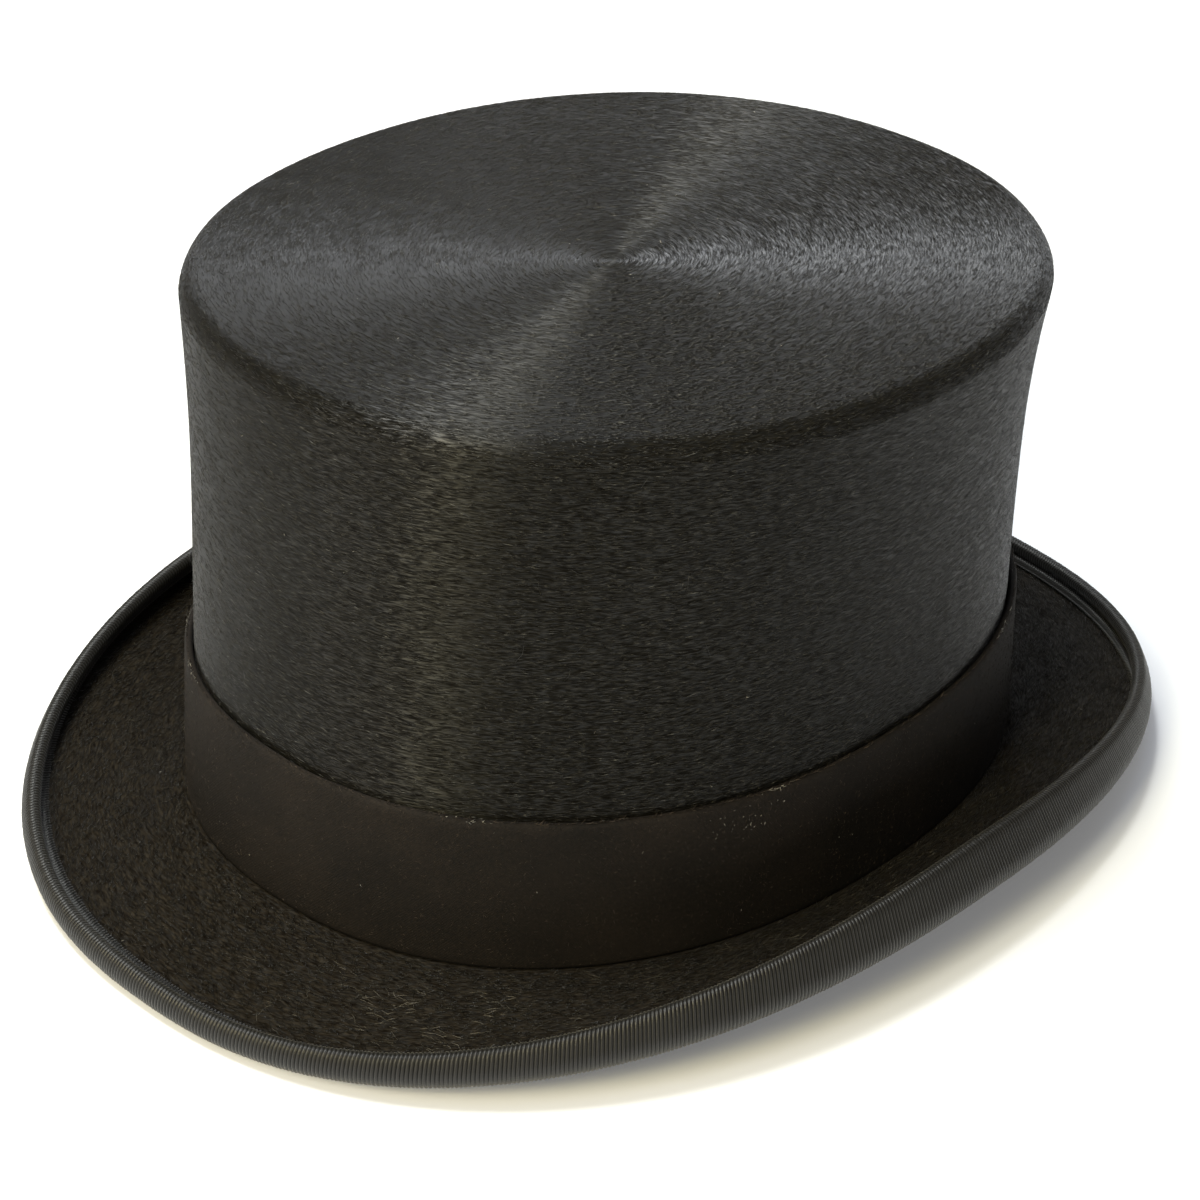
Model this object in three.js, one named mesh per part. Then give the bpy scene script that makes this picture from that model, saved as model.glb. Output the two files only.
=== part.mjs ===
// A low-crowned top hat: a stiff fur-felt crown and a curled brim, lined, with a leather sweatband.
// Millimetres, +Z up. The front of the hat faces -Y and the wearer's left is +X.
// The hat stands on the front and back of its brim at z = 0.
//
// Every ring-shaped piece is a lathe whose circle is drawn out to an oval: each profile point is a function
// that gives the point's radius and height at one angle.
import * as THREE from 'three';

// ---- crown ----
const STATIONS = 56;             // angular steps round the hat
const CROWN_HEIGHT = 127;        // from the brim break to the rim of the tip
const EDGE_RADIUS = 4.5;         // rounded edge between side and tip
const TIP_RISE = 1;              // the tip is a millimetre higher in the middle than at its rim
const TIP_FLAT = 0.62;           // share of the tip that is quite flat
const BASE = { a: 85.6, b: 105.3, power: 2.21 };   // outer oval at the break: half width, half length
const TAPER = { a: -4.7, b: -3.1, power: -0.1 };   // straight part of the change up to the tip
const FLARE = { a: 9.45, b: -0.5, power: 3.58 };   // bell flare, which grows as this power of the height
const FELT = 1.6;                // thickness of the crown felt
const SHELL = 0.8;               // thickness of the stiffening shell
const GAP = 0.3;                 // clearance between neighbouring layers of the wall
const CROWN_FOOT = 1.25;         // the felt and its shell end this far above the middle of the board
const WALL_LEVELS = [30, 60, 85, 105];             // heights where the flaring wall has a ring of points
const OUTER_EDGE = [0, 22, 45, 67, 90];            // degrees round the edge where the felt has its rings
const INNER_EDGE = [0, 20, 55, 90];                // the same for the felt's inner face
const CAP_EDGE = [20, 55, 90];                     // the same for the shell and the lining under the tip

// ---- brim ----
const EDGE = { a: 117.3, b: 147.9, power: 2.23 };  // outermost oval of the bound brim
const SLOPE = { front: -7, side: 18.3 };           // rise of the brim plate outwards, degrees
const TURN = { front: 121, side: 102.5 };          // angle through which the edge is turned up, degrees
const LIP = { front: 1, side: 7.4 };               // straight length beyond the turn
const LEVEL_ZONE = 0.12;         // |cos| of the plan angle below which the brim keeps its front section
const LIFT_POWER = 1.83;         // how late the section changes from front to side
const FOLD = 2.4;                // radius of the turn at the middle of the board
const BREAK_HALF = 3;            // half width of the soft bend where the plate leaves the wall
const BOARD = 0.3;               // half thickness of the brim board
const UPPER = { inner: 0.5, outer: 1.2 };          // brim felt, heights above the middle of the board
const UNDER = { inner: -0.5, outer: -1.1 };        // under cloth
const BINDING = { upper: 1.4, upperOuter: 1.9, lower: -1.3, lowerOuter: -1.8 };
const BINDING_INNER_LEG = 5.4;   // ribbon width on the upper side, from the crest
const BINDING_OUTER_LEG = 15.5;  // ribbon width on the lower side, from the crest
const BRIM_INNER = -3.5;         // inner edge of the board, measured from the outer face of the crown
const BEND_START = 0.1;          // the bend of a brim layer starts this far out from its inner edge
const FOLD_RINGS = [1 / 3, 2 / 3, 1];              // shares of the turn where a brim layer has its rings
const RIBBON_RINGS = [0.33, 0.56, 0.78, 1];        // the same for the outside of the ribbon
const LEG_RINGS = [0, 0.25, 0.5, 0.75, 1];         // shares of the ribbon's upper leg, from the crest
const CREST_RINGS = [135, 90, 45];                 // degrees round the ribbon's crest

// ---- band and fittings ----
const BAND = { inner: 0.3, outer: 2.2, height: 37, rise: 2 };  // the band is 2 mm higher at front and back
const TAB = { inner: 2.5, outer: 3.1, halfAngle: 4, steps: 3 };
const ROBIN = { inner: -3.5, outer: -3, low: 0.55, high: 1, top: 14 };
const LINING = { outer: -3, inner: -3.4, bottom: 16 };
const SWEAT = { outer: -3.9, inner: -4.6, foot: 20, top: 44 };
const REED = { offset: -3, z: -2.1, radius: 0.7, hook: 0.9 };
const REED_RINGS = [0, 60, 120, 180, 240, 300];    // degrees round the reed
const HOOK_RINGS = [180, 225, 270, 315, 360];      // degrees where the leather goes round the reed
const TAPE = { inner: -5.4, outer: -4.9, bottom: 14, top: 42, halfAngle: 2.6, steps: 2 };
const BOW = { halfWidth: 11, halfHeight: 4.2, waist: 1.1, shoulder: 3.3, swell: 5.46, thick: 1.2 };
const BOW_PLACE = { y: 98, z: 6 };
const BOW_SEGMENTS = 6;
const KNOT = { width: 4.4, height: 5, thick: 1.6 };

const RIGHT = Math.PI / 2;
const FRONT = -RIGHT;
const BACK = RIGHT;
const EDGE_Z = CROWN_HEIGHT - EDGE_RADIUS;

const mix = (from, to, share) => from + (to - from) * share;
const radians = THREE.MathUtils.degToRad;

/** Radius of a superellipse at a plan angle. */
function oval(phi, a, b, power) {
  const x = Math.abs(Math.cos(phi)) / a;
  const y = Math.abs(Math.sin(phi)) / b;
  return (x ** power + y ** power) ** (-1 / power);
}

// ---- the crown wall, its rounded edge and its tip; offset is measured outwards from the outer face ----

function wallRadius(phi, z, offset) {
  const t = THREE.MathUtils.clamp(z / EDGE_Z, 0, 1);
  const bell = t ** FLARE.power;
  const a = BASE.a + TAPER.a * t + FLARE.a * bell + offset;
  const b = BASE.b + TAPER.b * t + FLARE.b * bell + offset;
  return oval(phi, a, b, BASE.power + TAPER.power * t);
}

const wall = (z, offset) => (phi) => [wallRadius(phi, z, offset), z];

/** A point on the rounded edge; angle 0 is the top of the wall and 90 degrees the rim of the tip. */
const edge = (degrees, offset) => (phi) => {
  const angle = radians(degrees);
  const radius = EDGE_RADIUS + offset;
  const inset = radius * Math.cos(angle) - EDGE_RADIUS;
  return [wallRadius(phi, EDGE_Z, inset), EDGE_Z + radius * Math.sin(angle)];
};

/** A point on the tip; share 0 is the middle and 1 the start of the rounded edge. */
const tip = (share, offset) => (phi) => {
  const rise = share > TIP_FLAT ? 0 : TIP_RISE;
  return [wallRadius(phi, EDGE_Z, -EDGE_RADIUS) * share, CROWN_HEIGHT + offset + rise];
};

// ---- the brim section: plate, turned-up fold and lip; depth is upwards from the board's middle ----

function brimSection(phi) {
  const side = Math.max(0, Math.abs(Math.cos(phi)) - LEVEL_ZONE) / (1 - LEVEL_ZONE);
  const lift = side ** LIFT_POWER;
  const slope = radians(mix(SLOPE.front, SLOPE.side, lift));
  const start = oval(phi, BASE.a, BASE.b, BASE.power);
  const foldRho = oval(phi, EDGE.a, EDGE.b, EDGE.power) - FOLD + BINDING.lowerOuter;
  const plate = foldRho + FOLD * Math.sin(slope) - start;
  return {
    start,
    slope,
    plate,
    turn: radians(mix(TURN.front, TURN.side, lift)),
    lip: mix(LIP.front, LIP.side, lift),
    foldRho,
    foldZ: plate * Math.tan(slope) + FOLD * Math.cos(slope),
  };
}

function onPlate(section, reach, depth) {
  const rise = Math.tan(section.slope);
  const bend = THREE.MathUtils.clamp((reach + BREAK_HALF) / (2 * BREAK_HALF), 0, 1);
  const straight = Math.max(0, reach - BREAK_HALF);
  const z = rise * (BREAK_HALF * bend * bend + straight);
  const angle = Math.atan(rise * bend);
  return [section.start + reach - depth * Math.sin(angle), z + depth * Math.cos(angle)];
}

function onFold(section, share, depth) {
  const angle = section.slope + section.turn * share;
  const radius = FOLD - depth;
  return [section.foldRho + radius * Math.sin(angle), section.foldZ - radius * Math.cos(angle)];
}

function onLip(section, beyond, depth) {
  const [rho, z] = onFold(section, 1, depth);
  const angle = section.slope + section.turn;
  return [rho + beyond * Math.cos(angle), z + beyond * Math.sin(angle)];
}

const plate = (reach, depth) => (phi) => onPlate(brimSection(phi), reach, depth);

const plateEnd = (depth) => (phi) => {
  const section = brimSection(phi);
  return onPlate(section, section.plate, depth);
};

const fold = (share, depth) => (phi) => onFold(brimSection(phi), share, depth);

const lipEnd = (depth) => (phi) => {
  const section = brimSection(phi);
  return onLip(section, section.lip, depth);
};

/** A point at a surface distance back from the end of the lip, over the fold and on to the plate. */
const backFromLip = (distance, depth) => (phi) => {
  const section = brimSection(phi);
  const arc = (FOLD - depth) * section.turn;
  if (distance <= section.lip) return onLip(section, section.lip - distance, depth);
  if (distance <= section.lip + arc) return onFold(section, 1 - (distance - section.lip) / arc, depth);
  const back = distance - section.lip - arc;
  return onPlate(section, section.plate - back * Math.cos(section.slope), depth);
};

/** A point on the ribbon's round cap over the lip; 0 degrees is the upper side and 180 the lower. */
const cap = (degrees, radius) => (phi) => {
  const section = brimSection(phi);
  const middle = (BINDING.upper + BINDING.lower) / 2;
  const [rho, z] = onLip(section, section.lip, middle);
  const direction = section.slope + section.turn + RIGHT - radians(degrees);
  return [rho + radius * Math.cos(direction), z + radius * Math.sin(direction)];
};

/** A wall point that stands at a clearance above the brim. */
const standing = (offset, depth) => (phi) => [
  wallRadius(phi, 0, offset),
  onPlate(brimSection(phi), offset, 0)[1] + depth,
];

// ---- bodies ----

function mesh(name, geometry, look) {
  const made = new THREE.Mesh(geometry, new THREE.MeshStandardMaterial(look));
  made.name = name;
  return made;
}

/** Cuts every quad of a lathe along its shorter diagonal, so that nested layers are cut alike. */
function cutAlike(geometry, rows) {
  const position = geometry.getAttribute('position');
  const corner = (index) => new THREE.Vector3().fromBufferAttribute(position, index);
  const between = (first, second) => corner(first).distanceTo(corner(second));
  const triangles = [];
  for (let i = 0; i < STATIONS; i += 1) {
    for (let j = 0; j < rows - 1; j += 1) {
      const a = i * rows + j;
      const b = a + rows;
      const shortest = between(b, a + 1) < between(a, b + 1);
      triangles.push(...(shortest ? [a, b, a + 1, b + 1, a + 1, b] : [a, b, b + 1, a, b + 1, a + 1]));
    }
  }
  geometry.setIndex(triangles);
}

/** A lathe with its circle drawn out to the oval. Profiles close on themselves. */
function ring(points) {
  const profile = [...points, points[0]];
  const blank = profile.map((_, j) => new THREE.Vector2(1, j));
  const geometry = new THREE.LatheGeometry(blank, STATIONS);
  const position = geometry.getAttribute('position');
  for (let i = 0; i <= STATIONS; i += 1) {
    const phi = (2 * Math.PI * (i % STATIONS)) / STATIONS;
    profile.forEach((point, j) => {
      const [rho, z] = point(phi);
      position.setXYZ(i * profile.length + j, rho * Math.cos(phi), rho * Math.sin(phi), z);
    });
  }
  cutAlike(geometry, profile.length);
  geometry.computeVertexNormals();
  return geometry;
}

/** A box bent to the back wall: angle across it, height along it, offset through its thickness. */
function wallPatch({ halfAngle, inner, outer, steps }, bottom, top) {
  const side = 2;   // the box runs from -1 to 1
  const geometry = new THREE.BoxGeometry(side, side, side, steps, steps, 1);
  const position = geometry.getAttribute('position');
  for (let i = 0; i < position.count; i += 1) {
    const phi = BACK + radians(halfAngle) * position.getX(i);
    const low = bottom(phi);
    const z = mix(low, top(phi), (position.getY(i) + 1) / 2);
    const rho = wallRadius(phi, z, mix(inner, outer, (position.getZ(i) + 1) / 2));
    position.setXYZ(i, rho * Math.cos(phi), rho * Math.sin(phi), z);
  }
  geometry.computeVertexNormals();
  return geometry;
}

/** A wall that follows the crown between two offsets, with the same rings of points in every layer. */
function wallRing(first, outer, inner, levels) {
  const up = levels.map((z) => wall(z, outer));
  const down = levels.map((z) => wall(z, inner)).reverse();
  return ring([first(outer), ...up, ...down, first(inner)]);
}

/** A cap under the tip, turned a little way down the rounded edge. */
function tipCap(outer, inner) {
  const over = [...CAP_EDGE.map((d) => edge(d, outer)), tip(TIP_FLAT, outer), tip(0, outer)];
  const under = [tip(0, inner), tip(TIP_FLAT, inner), ...CAP_EDGE.map((d) => edge(d, inner)).reverse()];
  return ring([...over, ...under]);
}

function crownFelt() {
  const up = [standing(0, CROWN_FOOT), ...WALL_LEVELS.map((z) => wall(z, 0))];
  const round = OUTER_EDGE.map((d) => edge(d, 0));
  const top = [tip(TIP_FLAT, 0), tip(0, 0)];
  const under = [tip(0, -FELT), tip(TIP_FLAT, -FELT)];
  const inside = INNER_EDGE.map((d) => edge(d, -FELT)).reverse();
  const down = [...WALL_LEVELS.map((z) => wall(z, -FELT)).reverse(), standing(-FELT, CROWN_FOOT)];
  return ring([...up, ...round, ...top, ...under, ...inside, ...down]);
}

/** One flexible layer of the brim, between two depths, from its inner reach to the end of the lip. */
function brimLayer(reach, low, high) {
  const path = (depth) => [
    plate(reach, depth),
    plate(Math.max(reach, 0) + BEND_START, depth),
    plate(BREAK_HALF, depth),
    plateEnd(depth),
    ...FOLD_RINGS.map((share) => fold(share, depth)),
    lipEnd(depth),
  ];
  return ring([...path(low), ...path(high).reverse()]);
}

/** The ribbon folded over the lip. Its first fold chord is level at the front, where the hat stands. */
function bindingRibbon() {
  const land = (-2 * SLOPE.front) / TURN.front;
  const turns = [land, ...RIBBON_RINGS];
  const lower = (depth) => [
    backFromLip(BINDING_OUTER_LEG, depth),
    fold(0, depth),
    ...turns.map((share) => fold(share, depth)),
    lipEnd(depth),
  ];
  const upper = (depth) => LEG_RINGS.map((share) => backFromLip(BINDING_INNER_LEG * share, depth));
  const half = (BINDING.upper - BINDING.lower) / 2;
  const thick = BINDING.upperOuter - BINDING.upper;
  const caps = (radius) => CREST_RINGS.map((degrees) => cap(degrees, radius));
  const outside = [...lower(BINDING.lowerOuter), ...caps(half + thick), ...upper(BINDING.upperOuter)];
  const inside = [...lower(BINDING.lower), ...caps(half), ...upper(BINDING.upper)];
  return ring([...outside, ...inside.reverse()]);
}

const bandTop = (phi) => BAND.height + BAND.rise * Math.sin(phi) ** 2;

function hatBand() {
  const foot = UPPER.outer + GAP;
  const level = (share, offset) => (phi) => {
    const z = bandTop(phi) * share;
    return [wallRadius(phi, z, offset), z];
  };
  const face = (offset) => [standing(offset, foot), level(1 / 2, offset), level(1, offset)];
  return ring([...face(BAND.outer), ...face(BAND.inner).reverse()]);
}

/** The join of the band is covered by a narrow tab at the back. */
function bandTab() {
  const bottom = (phi) => standing(TAB.outer, UPPER.outer + 2 * GAP)(phi)[1];
  return wallPatch(TAB, bottom, bandTop);
}

/** An L-shaped strip: its foot lies on the board under the crown and its leg stands inside the shell. */
function robinStrip() {
  return ring([
    plate(ROBIN.inner, ROBIN.low),
    plate(0, ROBIN.low),
    plate(0, ROBIN.high),
    plate(ROBIN.outer, ROBIN.high),
    wall(ROBIN.top, ROBIN.outer),
    wall(ROBIN.top, ROBIN.inner),
  ]);
}

/** A point at an angle round the reed. */
const roundReed = (degrees, radius) => (phi) => {
  const angle = radians(degrees);
  return [wallRadius(phi, 0, REED.offset + radius * Math.cos(angle)), REED.z + radius * Math.sin(angle)];
};

/** The leather stands against the lining and is hooked outwards round the reed. */
function sweatband() {
  const thick = SWEAT.outer - SWEAT.inner;
  const outside = HOOK_RINGS.map((d) => roundReed(d, REED.hook + thick));
  const inside = HOOK_RINGS.map((d) => roundReed(d, REED.hook)).reverse();
  const up = [SWEAT.foot, SWEAT.top].map((z) => wall(z, SWEAT.outer));
  const down = [SWEAT.top, SWEAT.foot].map((z) => wall(z, SWEAT.inner));
  return ring([...outside, ...inside, ...up, ...down]);
}

const reedRing = () => ring(REED_RINGS.map((d) => roundReed(d, REED.radius)));

function seamTape() {
  const level = (z) => () => z;
  return wallPatch(TAPE, level(TAPE.bottom), level(TAPE.top));
}

/** Two loops joined at a narrow waist, drawn as one outline and pressed flat. */
function bowLoops() {
  const { halfWidth: w, halfHeight: h, waist, shoulder, swell } = BOW;
  const outline = new THREE.Shape();
  outline.moveTo(0, waist);
  outline.bezierCurveTo(shoulder, h, w, swell, w, 0);
  outline.bezierCurveTo(w, -swell, shoulder, -h, 0, -waist);
  outline.bezierCurveTo(-shoulder, -h, -w, -swell, -w, 0);
  outline.bezierCurveTo(-w, swell, -shoulder, h, 0, waist);
  return new THREE.ExtrudeGeometry(outline, {
    depth: BOW.thick,
    bevelEnabled: false,
    curveSegments: BOW_SEGMENTS,
  });
}

// ---- assembly; everything is raised so that the binding's level chord is at z = 0 ----

const LOOKS = {
  felt: { color: 0x17161a, roughness: 0.45 },
  brimFelt: { color: 0x121114, roughness: 0.9 },
  underCloth: { color: 0x121114, roughness: 0.85 },
  shellac: { color: 0x6d5a3f, roughness: 0.7 },
  board: { color: 0x5f4d36, roughness: 0.8 },
  linen: { color: 0xb9ad93, roughness: 0.9 },
  grosgrain: { color: 0x3a3834, roughness: 0.6 },
  bandCloth: { color: 0x1b1a1b, roughness: 0.95 },
  bowRibbon: { color: 0x1b1a1b, roughness: 0.6 },
  leather: { color: 0x7b5a3c, roughness: 0.5 },
  leatherTape: { color: 0x7b5a3c, roughness: 0.6 },
  reed: { color: 0xcfc7b0, roughness: 0.5 },
  satin: { color: 0xd9d3c4, roughness: 0.35 },
};

const hat = new THREE.Group();
const crown = new THREE.Group();
const brim = new THREE.Group();
const trim = new THREE.Group();
const interior = new THREE.Group();
hat.add(crown, brim, trim, interior);
hat.children.forEach((group) => {
  group.position.z = -fold(0, BINDING.lowerOuter)(FRONT)[1];
});

const shellOuter = -FELT - GAP;
const shellInner = shellOuter - SHELL;
const onRobin = (offset) => standing(offset, CROWN_FOOT);
const onLevel = (z) => (offset) => wall(z, offset);

const levels = [...WALL_LEVELS, EDGE_Z];
const shellSide = wallRing(onRobin, shellOuter, shellInner, levels);
const liningSide = wallRing(onLevel(LINING.bottom), LINING.outer, LINING.inner, levels);

crown.add(mesh('crown_felt', crownFelt(), LOOKS.felt));
crown.add(mesh('crown_shell_side', shellSide, LOOKS.shellac));
crown.add(mesh('crown_shell_tip', tipCap(shellOuter, shellInner), LOOKS.shellac));

brim.add(mesh('brim_board', brimLayer(BRIM_INNER, -BOARD, BOARD), LOOKS.board));
brim.add(mesh('brim_felt_upper', brimLayer(BAND.inner, UPPER.inner, UPPER.outer), LOOKS.brimFelt));
brim.add(mesh('brim_cloth_under', brimLayer(BRIM_INNER, UNDER.outer, UNDER.inner), LOOKS.underCloth));
brim.add(mesh('robin_strip', robinStrip(), LOOKS.linen));

trim.add(mesh('brim_binding', bindingRibbon(), LOOKS.grosgrain));
trim.add(mesh('hat_band', hatBand(), LOOKS.bandCloth));
trim.add(mesh('hat_band_tab', bandTab(), LOOKS.bandCloth));

interior.add(mesh('lining_side', liningSide, LOOKS.satin));
interior.add(mesh('lining_tip', tipCap(LINING.outer, LINING.inner), LOOKS.satin));
interior.add(mesh('sweatband', sweatband(), LOOKS.leather));
interior.add(mesh('sweatband_reed', reedRing(), LOOKS.reed));
interior.add(mesh('sweatband_seam_tape', seamTape(), LOOKS.leatherTape));

const bow = mesh('sweatband_bow', bowLoops(), LOOKS.bowRibbon);
bow.rotation.x = RIGHT;
bow.position.set(0, BOW_PLACE.y + BOW.thick, BOW_PLACE.z);
interior.add(bow);

const knotBox = new THREE.BoxGeometry(KNOT.width, KNOT.thick, KNOT.height);
const knot = mesh('sweatband_bow_knot', knotBox, LOOKS.bowRibbon);
knot.position.set(0, BOW_PLACE.y - GAP - KNOT.thick / 2, BOW_PLACE.z);
interior.add(knot);

export default hat;
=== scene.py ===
"""Looks of the top hat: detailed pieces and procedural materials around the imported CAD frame.

Lengths in the shape functions are millimetres above the brim break, as in the CAD; `metres` turns them into
the frame's metres. The front of the hat faces -Y.
"""
import math

import bpy
import numpy as np
from mathutils import Matrix, Vector


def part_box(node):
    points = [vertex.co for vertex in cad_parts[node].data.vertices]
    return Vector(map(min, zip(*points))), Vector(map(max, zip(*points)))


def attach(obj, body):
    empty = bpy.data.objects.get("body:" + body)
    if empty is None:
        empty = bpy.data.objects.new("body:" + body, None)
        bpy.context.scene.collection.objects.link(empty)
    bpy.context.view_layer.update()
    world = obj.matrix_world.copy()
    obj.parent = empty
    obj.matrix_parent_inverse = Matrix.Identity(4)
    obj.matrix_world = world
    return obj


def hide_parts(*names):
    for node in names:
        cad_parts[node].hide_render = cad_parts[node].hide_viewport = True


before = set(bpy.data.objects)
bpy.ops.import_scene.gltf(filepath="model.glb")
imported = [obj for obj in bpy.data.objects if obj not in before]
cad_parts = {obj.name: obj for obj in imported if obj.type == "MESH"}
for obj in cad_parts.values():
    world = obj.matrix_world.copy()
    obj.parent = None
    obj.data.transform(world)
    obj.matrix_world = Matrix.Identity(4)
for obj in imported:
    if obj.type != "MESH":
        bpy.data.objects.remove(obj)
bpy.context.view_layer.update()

MM = 0.001

# ---- the shape, as in the CAD (millimetres) ----
CROWN_HEIGHT = 127.0
EDGE_RADIUS = 4.5
EDGE_Z = CROWN_HEIGHT - EDGE_RADIUS
TIP_RISE = 1.0
BASE = (85.6, 105.3, 2.21)
TAPER = (-4.7, -3.1, -0.1)
FLARE = (9.45, -0.5, 3.58)
HOOD = 1.2                       # the felt, a little thinner than the CAD's to clear the shells' facets
FOOT_DEPTH = 1.25
BRIM_EDGE = (117.3, 147.9, 2.23)
SLOPE = (-7.0, 18.3)
TURN = (121.0, 102.5)
LIP = (1.0, 7.4)
LEVEL_ZONE = 0.12
LIFT_POWER = 1.83
FOLD = 2.4
BREAK_HALF = 3.0
RIBBON = dict(upper=1.4, lower=-1.3, lower_outer=-1.8, inner_leg=5.4, outer_leg=15.5)
RIBBON_THICK = 0.23
RIBS = 925
RIB_PROFILE = (0.0, 0.8, 1.0, 0.8)
RIB_HEIGHT = 0.26
BAND_FOOT = (1.2, 1.5)           # how far out and how high above the brim the band starts
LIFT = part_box("crown_felt")[1][2] / MM - CROWN_HEIGHT - TIP_RISE
SWIRL = np.array([6.0, -10.3])   # where the nap of the tip turns
CROWN_HAIR = 0.058
ROOT_DEPTH = 0.08 * MM
TIP_STEP = 0.004                 # step of the tangents where the rings are small
DUST_CENTRES = (-2.36, -2.16, -1.95, -1.1, -0.4, 0.6, 2.2)

rng = np.random.default_rng(12)


def oval(phi, a, b, power):
    return ((np.abs(np.cos(phi)) / a) ** power + (np.abs(np.sin(phi)) / b) ** power) ** (-1 / power)


def wall_radius(phi, z, offset):
    t = np.clip(z / EDGE_Z, 0, 1)
    bell = t ** FLARE[2]
    a, b = (BASE[i] + TAPER[i] * t + FLARE[i] * bell + offset for i in (0, 1))
    return oval(phi, a, b, BASE[2] + TAPER[2] * t)


def brim_section(phi):
    side = np.clip(np.abs(np.cos(phi)) - LEVEL_ZONE, 0, None) / (1 - LEVEL_ZONE)
    lift = side ** LIFT_POWER
    slope, turn, lip = (pair[0] + (pair[1] - pair[0]) * lift for pair in (SLOPE, TURN, LIP))
    slope, turn = np.radians(slope), np.radians(turn)
    start = oval(phi, *BASE)
    fold_rho = oval(phi, *BRIM_EDGE) - FOLD + RIBBON["lower_outer"]
    plate = fold_rho + FOLD * np.sin(slope) - start
    fold_z = plate * np.tan(slope) + FOLD * np.cos(slope)
    return dict(start=start, slope=slope, turn=turn, lip=lip, plate=plate, rho=fold_rho, z=fold_z)


def on_plate(s, reach, depth):
    rise = np.tan(s["slope"])
    bend = np.clip((reach + BREAK_HALF) / (2 * BREAK_HALF), 0, 1)
    z = rise * (BREAK_HALF * bend * bend + np.clip(reach - BREAK_HALF, 0, None))
    angle = np.arctan(rise * bend)
    return s["start"] + reach - depth * np.sin(angle), z + depth * np.cos(angle)


def on_fold(s, share, depth):
    angle = s["slope"] + s["turn"] * share
    return s["rho"] + (FOLD - depth) * np.sin(angle), s["z"] - (FOLD - depth) * np.cos(angle)


def on_lip(s, beyond, depth):
    rho, z = on_fold(s, 1.0, depth)
    angle = s["slope"] + s["turn"]
    return rho + beyond * np.cos(angle), z + beyond * np.sin(angle)


def back_from_lip(s, distance, depth):
    """A point at a surface distance back from the end of the lip, over the fold and on to the plate."""
    arc = (FOLD - depth) * s["turn"]
    lip = on_lip(s, s["lip"] - distance, depth)
    fold = on_fold(s, 1 - (distance - s["lip"]) / arc, depth)
    plate = on_plate(s, s["plate"] - (distance - s["lip"] - arc) * np.cos(s["slope"]), depth)
    near, mid = distance <= s["lip"], distance <= s["lip"] + arc
    return tuple(np.where(near, p, np.where(mid, q, r)) for p, q, r in zip(lip, fold, plate))


def ribbon_cap(s, degrees, radius):
    rho, z = on_lip(s, s["lip"], (RIBBON["upper"] + RIBBON["lower"]) / 2)
    angle = s["slope"] + s["turn"] + math.pi / 2 - math.radians(degrees)
    return rho + radius * np.cos(angle), z + radius * np.sin(angle)


def stations(count):
    return np.linspace(0, 2 * math.pi, count, endpoint=False)


def metres(phi, rho, z):
    """Points in the frame, from plan angle, radius and height above the break."""
    rho, z = np.broadcast_arrays(np.asarray(rho, float) + 0 * phi, np.asarray(z, float) + 0 * phi)
    return np.stack([rho * np.cos(phi), rho * np.sin(phi), z + LIFT], -1) * MM


# ---- meshes ----

def quads(rows, count, wrap):
    """Faces of a grid that closes round the hat, and over its rows too if wrap is set."""
    i = np.arange(rows if wrap else rows - 1)[:, None]
    j = np.arange(count)[None, :]
    after, over = (j + 1) % count, (i + 1) % rows
    return np.stack(np.broadcast_arrays(i * count + j, i * count + after, over * count + after,
                                        over * count + j), -1).reshape(-1, 4)


def placed(name, data):
    made = bpy.data.objects.new(name, data)
    bpy.context.scene.collection.objects.link(made)
    return made


def build(name, points, faces, material, nodes=(), marks=None):
    """A piece from points and lists of faces, with its material and ride."""
    mesh = bpy.data.meshes.new(name)
    sizes = np.concatenate([np.full(len(f), f.shape[1]) for f in faces])
    corners = np.concatenate([f.ravel() for f in faces])
    mesh.vertices.add(len(points))
    mesh.vertices.foreach_set("co", np.asarray(points, np.float32).ravel())
    mesh.loops.add(len(corners))
    mesh.loops.foreach_set("vertex_index", corners.astype(np.int32))
    mesh.polygons.add(len(sizes))
    mesh.polygons.foreach_set("loop_start", np.concatenate([[0], np.cumsum(sizes)[:-1]]).astype(np.int32))
    mesh.update(calc_edges=True)
    mesh.shade_smooth()
    for key, values in (marks or {}).items():
        values = np.asarray(values, np.float32)
        kind, field = ("FLOAT", "value") if values.ndim == 1 else ("FLOAT_VECTOR", "vector")
        mesh.attributes.new(key, kind, "POINT").data.foreach_set(field, values.ravel())
    mesh.materials.append(material)
    piece = placed(name, mesh)
    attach(piece, "root")
    if nodes:
        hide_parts(*nodes)
    return piece


def profile_marks(rows):
    """Direction round the hat and distance along the profile, for every point of a grid of rings."""
    along = np.roll(rows, -1, 1) - np.roll(rows, 1, 1)
    along /= np.maximum(np.linalg.norm(along, axis=-1, keepdims=True), 1e-9)
    step = np.linalg.norm(np.diff(rows, axis=0), axis=-1).mean(1)
    across = np.concatenate([[0], np.cumsum(step)])[:, None] + np.zeros(rows.shape[:2])
    return along, across


def ring_piece(name, rows, material, slot, nodes=(), **extra):
    """A closed ring-shaped piece from the rings of its profile, in order from the bottom up the outside."""
    rows = np.asarray(rows)
    along, across = profile_marks(rows)
    marks = {"along": along.reshape(-1, 3), "across": across.ravel()}
    marks.update({key: np.broadcast_to(value, across.shape).ravel() for key, value in extra.items()})
    return build(name, rows.reshape(-1, 3), [quads(*rows.shape[:2], True)], material, nodes, marks)


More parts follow.
